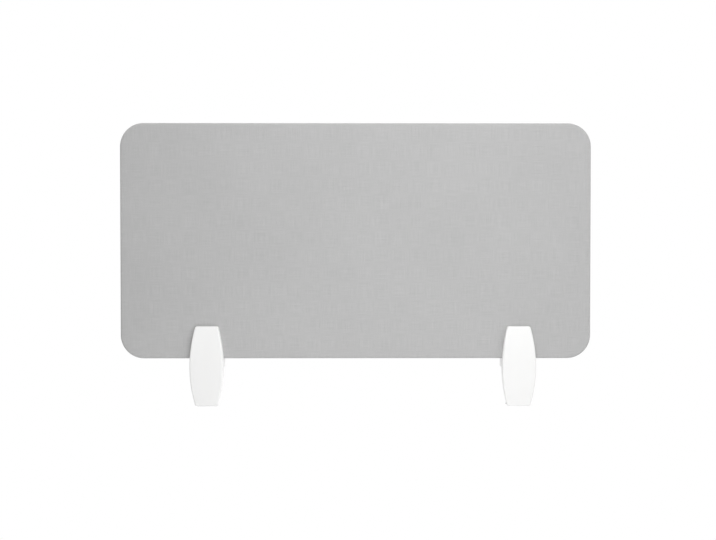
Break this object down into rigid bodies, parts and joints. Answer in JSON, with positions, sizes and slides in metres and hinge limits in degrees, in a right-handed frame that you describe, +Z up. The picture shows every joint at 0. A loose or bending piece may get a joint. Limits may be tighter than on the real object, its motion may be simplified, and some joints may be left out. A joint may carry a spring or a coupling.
{
  "type": "desk divider screen",
  "caption": "Fabric covered desk divider panel with rounded corners, held upright at the desk's edge by bow-sided white clamp brackets that slide along its lower edge.",
  "frame": {"origin": "on the desk surface, under the middle of the panel's length and thickness", "axes": "+X along the panel, +Y from the outer side towards the desk, +Z up"},
  "size_m": [0.8, 0.0669, 0.4843],
  "materials": {
    "fabric": "fine woven polyester upholstery cloth, light warm-free grey",
    "edge_trim": "satin grey PVC edge strip",
    "felt": "pressed polyester felt, matt",
    "board": "medium density fibreboard, raw sawn",
    "infill": "pressed polyester sound absorbing board",
    "white_plastic": "satin white moulded ABS",
    "white_casting": "white powder coat, fine orange peel, on cast aluminium",
    "steel": "zinc plated steel, bright",
    "dark_rubber": "matt black rubber, fine grain",
    "dark_plastic": "satin black moulded plastic"
  },
  "bodies": {
    "panel": {"core_frame": "board", "core_infill": "infill", "edge_strip": "edge_trim", "front_felt": "felt", "rear_felt": "felt", "front_cover": "fabric", "rear_cover": "fabric"},
    "left_bracket": {"left_front_shell": "white_plastic", "left_clamp_body": "white_casting", "left_cover_screws": "steel", "left_cradle_pad": "dark_rubber", "left_front_grip_pad": "dark_rubber", "left_desk_pad": "dark_rubber", "left_jaw_insert": "steel"},
    "left_grip": {"left_grip_plate": "steel", "left_grip_plate_pad": "dark_rubber"},
    "left_grip_screw_a": {"left_grip_screw_a": "steel"},
    "left_grip_screw_b": {"left_grip_screw_b": "steel"},
    "left_foot": {"left_pressure_foot": "steel", "left_foot_pad": "dark_rubber"},
    "left_spindle": {"left_clamp_spindle": "steel", "left_clamp_knob": "dark_plastic", "left_retaining_clip": "steel"},
    "right_bracket": {"right_front_shell": "white_plastic", "right_clamp_body": "white_casting", "right_cover_screws": "steel", "right_cradle_pad": "dark_rubber", "right_front_grip_pad": "dark_rubber", "right_desk_pad": "dark_rubber", "right_jaw_insert": "steel"},
    "right_grip": {"right_grip_plate": "steel", "right_grip_plate_pad": "dark_rubber"},
    "right_grip_screw_a": {"right_grip_screw_a": "steel"},
    "right_grip_screw_b": {"right_grip_screw_b": "steel"},
    "right_foot": {"right_pressure_foot": "steel", "right_foot_pad": "dark_rubber"},
    "right_spindle": {"right_clamp_spindle": "steel", "right_clamp_knob": "dark_plastic", "right_retaining_clip": "steel"}
  },
  "joints": [
    {"name": "left_bracket_slide", "type": "slide", "parent": "panel", "child": "left_bracket", "axis": [1, 0, 0], "range_m": [-0.075, 0.2]},
    {"name": "left_grip_travel", "type": "slide", "parent": "left_bracket", "child": "left_grip", "axis": [0, 1, 0], "range_m": [0, 0.0015]},
    {"name": "left_grip_screw_a_turn", "type": "hinge", "parent": "left_grip", "child": "left_grip_screw_a", "pos_m": [-0.264, 0, 0.043], "axis": [0, 1, 0], "range_deg": [0, 540]},
    {"name": "left_grip_screw_b_turn", "type": "hinge", "parent": "left_grip", "child": "left_grip_screw_b", "pos_m": [-0.242, 0, 0.043], "axis": [0, 1, 0], "range_deg": [0, 540]},
    {"name": "left_foot_travel", "type": "slide", "parent": "left_bracket", "child": "left_foot", "axis": [0, 0, 1], "range_m": [-0.0125, 0.006]},
    {"name": "left_clamp_turn", "type": "hinge", "parent": "left_foot", "child": "left_spindle", "pos_m": [-0.253, 0.023, 0], "axis": [0, 0, 1], "range_deg": [-3600, 1728]},
    {"name": "right_bracket_slide", "type": "slide", "parent": "panel", "child": "right_bracket", "axis": [1, 0, 0], "range_m": [-0.2, 0.05]},
    {"name": "right_grip_travel", "type": "slide", "parent": "right_bracket", "child": "right_grip", "axis": [0, 1, 0], "range_m": [0, 0.0015]},
    {"name": "right_grip_screw_a_turn", "type": "hinge", "parent": "right_grip", "child": "right_grip_screw_a", "pos_m": [0.266, 0, 0.043], "axis": [0, 1, 0], "range_deg": [0, 540]},
    {"name": "right_grip_screw_b_turn", "type": "hinge", "parent": "right_grip", "child": "right_grip_screw_b", "pos_m": [0.288, 0, 0.043], "axis": [0, 1, 0], "range_deg": [0, 540]},
    {"name": "right_foot_travel", "type": "slide", "parent": "right_bracket", "child": "right_foot", "axis": [0, 0, 1], "range_m": [-0.0125, 0.006]},
    {"name": "right_clamp_turn", "type": "hinge", "parent": "right_foot", "child": "right_spindle", "pos_m": [0.277, 0.023, 0], "axis": [0, 0, 1], "range_deg": [-3600, 1728]}
  ],
  "couplings": [
    {"joint": "left_grip_screw_a_turn", "follows": "left_grip_travel", "rad_per_m": 6283.2},
    {"joint": "left_grip_screw_b_turn", "follows": "left_grip_travel", "rad_per_m": 6283.2},
    {"joint": "left_clamp_turn", "follows": "left_foot_travel", "rad_per_m": 5026.5},
    {"joint": "right_grip_screw_a_turn", "follows": "right_grip_travel", "rad_per_m": 6283.2},
    {"joint": "right_grip_screw_b_turn", "follows": "right_grip_travel", "rad_per_m": 6283.2},
    {"joint": "right_clamp_turn", "follows": "right_foot_travel", "rad_per_m": 5026.5}
  ]
}
